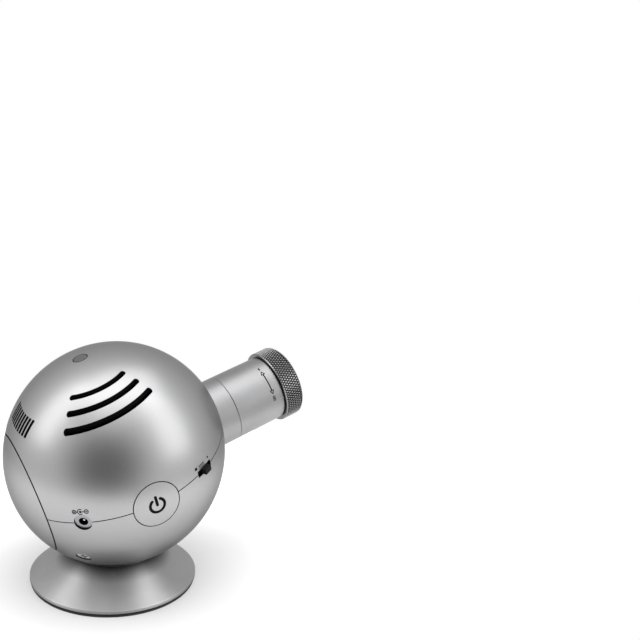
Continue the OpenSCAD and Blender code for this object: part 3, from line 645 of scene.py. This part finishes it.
FOCUS_X = 93.5 * MM
ARROW_TIPS = (25.5, 69.0)  # degrees round the barrel from its upper side
HEAD_LONG, HEAD_WIDE, HEAD_LINE = 2.0 * MM, 1.1 * MM, 0.5 * MM
SHAFT_LINE = 0.7 * MM
NEAR_ENDS = (16, 21.5)  # degrees, the dash that means near
NEAR_LINE = 0.9 * MM
FAR_AT = 77.5  # degrees, the lying eight that means far
FAR_R = 0.65 * MM
FAR_SIDE = 0.75 * MM


def barrel_print(u, v, h):
    """Surface coordinates on the barrel: round it from its upper side, and along it."""
    return on_tube(FOCUS_X + v, TUBE_R + h, u / TUBE_R)


def barrel_u(angle):
    """How far round the barrel an angle in degrees is."""
    return TUBE_R * math.radians(angle)


def focus_marks():
    """An arrow with two open heads round the barrel, between the signs for near and far."""
    focus = Inlay(barrel_print)
    tips = [barrel_u(angle) for angle in ARROW_TIPS]
    for tip, way in zip(tips, (-1, 1)):
        left, right = ((tip - way * HEAD_LONG, side * HEAD_WIDE) for side in (1, -1))
        for line in ((left, (tip, 0)), (right, (tip, 0)), (left, right)):
            focus.stroke(line, HEAD_LINE)
    focus.stroke([(tips[0] + HEAD_LONG, 0), (tips[1] - HEAD_LONG, 0)], SHAFT_LINE, False)
    focus.stroke([(barrel_u(angle), 0) for angle in NEAR_ENDS], NEAR_LINE, False)
    for side in (-1, 1):
        focus.arc((barrel_u(FAR_AT) + side * FAR_SIDE, 0), FAR_R, 0, 360, FINE, False)
    focus.make("focus_marks", "ink", "ball")


power_symbol()
polarity_symbol()
switch_marks()
focus_marks()

# ---------- knurled focus ring ----------

RING_R = 21.75 * MM
RING_X = (100.0 * MM, 112.3 * MM)  # from the ball's centre along the tube
RING_BORE = 17.58 * MM
RING_MOUTH = 19.2 * MM
MOUTH_DEPTH = 3.0 * MM
RING_CHAMFER = 1.6 * MM
RING_BEAD = 0.6 * MM  # bevel at the barrel's end
EDGE = 0.06 * MM  # how finely the ring's edges are broken
FRONT_EDGE = 0.04 * MM
LIP_EDGE = 0.1 * MM
KNURL_X = (RING_X[0] + 0.4 * MM, RING_X[1] - 0.25 * MM)
KNURLS = 84
KNURL_LONG = 2.9 * MM
KNURL_STEPS = 8  # mesh steps in a diamond
KNURL_DEPTH = 0.6 * MM
KNURL_SLOPE = 1.25  # more than 1 leaves the diamonds a flat top
PLAIN_CREST = 0.6  # what the faces beside the knurl take for their height


def ring_skin(x):
    """The ring's radius before it is knurled, with its bevel and chamfer."""
    return RING_R - max(0.0, RING_X[0] + RING_BEAD - x, x - RING_X[1] + RING_CHAMFER)


def knurl_crest(turn, row, rows):
    """The knurl's height from 0 to 1 at a mesh step round the ring and a row along it."""
    a = (turn + row) / KNURL_STEPS
    b = (turn - row) / KNURL_STEPS
    rise = min(abs(2 * (a % 1) - 1), abs(2 * (b % 1) - 1))
    fade = min(1.0, row, rows - row)
    return 1 - fade * (1 - min(1.0, rise * KNURL_SLOPE))


def knurl_ring():
    """The focus ring with real diamonds; its crest attribute says how high each point stands."""
    around = KNURLS * KNURL_STEPS
    rows = round((KNURL_X[1] - KNURL_X[0]) / KNURL_LONG * KNURL_STEPS)
    rear, front = RING_X
    rear_profile = [
        (rear, RING_BORE),
        (rear, RING_R - RING_BEAD),
        (rear + EDGE, RING_R - RING_BEAD + EDGE),
    ]
    front_profile = [
        (front - EDGE, RING_R - RING_CHAMFER + EDGE),
        (front, RING_R - RING_CHAMFER - FRONT_EDGE),
        (front, RING_MOUTH + LIP_EDGE),
        (front - LIP_EDGE, RING_MOUTH),
        (front - MOUTH_DEPTH, RING_MOUTH),
        (front - MOUTH_DEPTH, RING_BORE),
    ]
    verts, faces, crests = [], [], []

    def add_loop(x, radii, heights):
        """One row of points round the ring, with the height of each."""
        verts.extend(on_tube(x, radii[i], 2 * math.pi * i / around) for i in range(around))
        crests.extend(heights)

    for x, radius in rear_profile:
        add_loop(x, [radius] * around, [PLAIN_CREST] * around)
    for row in range(rows + 1):
        x = KNURL_X[0] + (KNURL_X[1] - KNURL_X[0]) * row / rows
        heights = [knurl_crest(i, row, rows) for i in range(around)]
        add_loop(x, [ring_skin(x) - KNURL_DEPTH * (1 - height) for height in heights], heights)
    for x, radius in front_profile:
        add_loop(x, [radius] * around, [PLAIN_CREST] * around)

    for start in range(0, len(verts), around):
        after = (start + around) % len(verts)
        for i in range(around):
            j = (i + 1) % around
            faces.append((start + i, start + j, after + j, after + i))
    ring = piece("knurled_ring", verts, faces, "ring_metal", "ring",
                 smooth=40)
    ring.data.attributes.new(CREST, "FLOAT", "POINT").data.foreach_set("value", crests)
    return ring


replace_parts(knurl_ring(), "focus_ring")

# ---------- dial print ----------

TICK_OUT = 16.2 * MM
TICK_IN = 15.0 * MM
HOUR_TICK_IN = 14.2 * MM
TICK_LINE = 0.3 * MM
NUMERAL_R = 11.2 * MM
NUMERAL_SIZE = 3.6 * MM


def dial_point(u, v, h):
    """Dial print coordinates: u to the right and v upwards in the projected picture.

    Seen from the lens they are mirrored, so faces are turned over to look at it.
    """
    return IN_BALL @ Vector((DIAL_X + h, u, -v - TUBE_DROP))


def clockwise(radius, degrees):
    """A place on the dial, from its radius and its angle from the twelve."""
    a = math.radians(degrees)
    return radius * math.sin(a), radius * math.cos(a)


def minute_marks():
    """Sixty ticks, longer at the hours."""
    minutes = Inlay(dial_point, mirrored=True)
    for minute in range(60):
        inner = TICK_IN if minute % 5 else HOUR_TICK_IN
        minutes.stroke([clockwise(radius, 6 * minute) for radius in (inner, TICK_OUT)],
                       TICK_LINE, False)
    minutes.make("minute_marks", "pale_paint", "ball")


def numerals():
    """Plain numbers, mirrored and upside down so that the lens throws them upright."""
    verts, faces = [], []
    for hour in range(1, 13):
        curve = bpy.data.curves.new("numeral", "FONT")
        curve.body = str(hour)
        curve.size = 1.0
        curve.align_x = "CENTER"
        curve.align_y = "CENTER"
        text = bpy.data.objects.new("numeral", curve)
        bpy.context.scene.collection.objects.link(text)
        bpy.context.view_layer.update()
        shaped = text.evaluated_get(bpy.context.evaluated_depsgraph_get())
        flat = bpy.data.meshes.new_from_object(shaped)
        u, v = clockwise(NUMERAL_R, 30 * hour)
        first = len(verts)
        verts += [dial_point(u + vertex.co.x * NUMERAL_SIZE, v + vertex.co.y * NUMERAL_SIZE,
                             PRINT_RISE) for vertex in flat.vertices]
        faces += [tuple(first + i for i in reversed(polygon.vertices))
                  for polygon in flat.polygons]
        bpy.data.objects.remove(text)
        bpy.data.curves.remove(curve)
        bpy.data.meshes.remove(flat)
    piece("dial_numerals", verts, faces, "pale_paint", "ball")


minute_marks()
numerals()

# ---------- floor ----------

FLOOR_GREY = 0.6
FLOOR_REACH = (0.05, 0.15)  # metres from the origin between which the lift grows; the weaker glow nearer the object paints the floor darker round it
FLOOR_LIFT = (0.28, 0.74)  # glow that makes the floor show white
FLOOR_R = 0.25
FLOOR_CENTRE = Vector((0.02, 0.055, 0))
FLOOR_SIDES = 96


def floor_paint():
    """Pale matt floor that shows white and keeps its shadow; its glow is weaker near the object, a
    painted shade round the foot.
    """
    n = Paint("floor")
    # painted shade: less glow near the object darkens the floor round it
    lift = n.span(n.measure("LENGTH"), FLOOR_REACH, FLOOR_LIFT)
    n.set(
        Base_Color=grey(FLOOR_GREY),
        Roughness=0.9,
        Emission_Color=grey(1),
        Emission_Strength=n.math("MULTIPLY", n.seen(), lift),
    )
    return n.mat


def make_floor():
    """A round floor that reaches past the object's shadow."""
    turns = [2 * math.pi * k / FLOOR_SIDES for k in range(FLOOR_SIDES)]
    rim = [FLOOR_CENTRE + FLOOR_R * Vector((math.cos(a), math.sin(a), 0)) for a in turns]
    mesh = bpy.data.meshes.new("floor")
    mesh.from_pydata(rim, [], [tuple(range(FLOOR_SIDES))])
    mesh.materials.append(floor_paint())
    floor = bpy.data.objects.new("floor", mesh)
    bpy.context.scene.collection.objects.link(floor)


make_floor()

# ---------- lamps ----------

LAMP_TARGET = Vector((0, 0, 0.08))
LAMPS = (  # name, size, watts, place
    ("top_softbox", (1.3, 0.8), 4.6, (0.0, -0.15, 1.1)),
    ("left_softbox", (0.5, 1.1), 3.0, (-0.84, 0.17, 0.7)),
    ("right_softbox", (0.6, 1.1), 3.0, (0.61, -0.66, 0.62)),
)


def lamp(name, size, energy, place):
    """A rectangular area lamp aimed at the ball."""
    light = bpy.data.lights.new(name, "AREA")
    light.shape = "RECTANGLE"
    light.size, light.size_y = size
    light.energy = energy
    obj = bpy.data.objects.new(name, light)
    obj.location = place
    obj.rotation_euler = (LAMP_TARGET - Vector(place)).to_track_quat("-Z", "Y").to_euler()
    bpy.context.scene.collection.objects.link(obj)


for settings in LAMPS:
    lamp(*settings)

# ---------- camera ----------

CAMERA_PLACE = Vector((-128.427, -352.520, 197.696)) * MM
YAW, PITCH, CAMERA_ROLL = 0.485838, 0.137512, 0.039128
FOCAL_PX, IMAGE_PX, SENSOR = 699.374, 640, 36.0
CENTRE_PX = 214  # the view's axis across the picture, left of its middle


def camera():
    """The photo's camera, as fitted to its outlines."""
    forward = Vector((math.sin(YAW) * math.cos(PITCH), math.cos(YAW) * math.cos(PITCH),
                      -math.sin(PITCH)))
    level = Vector((math.cos(YAW), -math.sin(YAW), 0))
    above = level.cross(forward)
    right = level * math.cos(CAMERA_ROLL) + above * math.sin(CAMERA_ROLL)
    up = above * math.cos(CAMERA_ROLL) - level * math.sin(CAMERA_ROLL)
    data = bpy.data.cameras.new("camera")
    data.sensor_width = SENSOR
    data.lens = FOCAL_PX / IMAGE_PX * SENSOR
    data.shift_x = 0.5 - CENTRE_PX / IMAGE_PX
    data.clip_start, data.clip_end = 0.01, 50
    obj = bpy.data.objects.new("camera", data)
    turn = Matrix((right, up, -forward)).transposed()
    obj.matrix_world = Matrix.Translation(CAMERA_PLACE) @ turn.to_4x4()
    bpy.context.scene.collection.objects.link(obj)
    bpy.context.scene.camera = obj


camera()

# ---------- world ----------

CORNER, WALL, DARK, CEILING = 0.6, 0.88, 0.05, 1.2  # greys of the room that metal sees
DARK_WAY = Vector((-0.5, -0.866, 0.035)).normalized()
CEILING_WAY = Vector((-0.1, -0.3, 0.95)).normalized()
CAMERA_WAY = (CAMERA_PLACE - BALL_CENTRE).normalized()
# each of the next three is (cosine to its way, grey)
WALLS = ((-0.6, CORNER), (0.0, WALL), (0.67, WALL), (0.95, DARK))
OVERHEAD = ((0.68, 0), (0.95, CEILING))
BACKDROP = ((-0.88, 1), (-0.6, 0))


def world():
    """White for the camera; metal and glass see a pale backdrop, soft walls and a dark side."""
    studio = bpy.data.worlds.new("studio")
    studio.use_nodes = True
    n = Graph(studio.node_tree, "Generated")

    def shade(way, stops):
        """Grey by how far a ray turns towards a way."""
        turn = n.span(n.measure("DOT_PRODUCT", way), (-1.0, 1.0))
        return n.ramp(turn, [((cosine + 1) / 2, grey(level)) for cosine, level in stops])

    room = n.mix(1, shade(DARK_WAY, WALLS), shade(CEILING_WAY, OVERHEAD), blend="LIGHTEN")
    backdrop = n.math("MULTIPLY", n.seen(), shade(CAMERA_WAY, BACKDROP))
    to_camera = n.add("ShaderNodeLightPath").outputs["Is Camera Ray"]
    white = n.math("MAXIMUM", to_camera, backdrop)
    background = n.add("ShaderNodeBackground")
    n.put(background.inputs["Color"], n.mix(white, room, grey(1)))
    out = n.add("ShaderNodeOutputWorld")
    n.put(out.inputs["Surface"], background.outputs[0])
    bpy.context.scene.world = studio


world()
bpy.context.scene.view_settings.view_transform = "Standard"
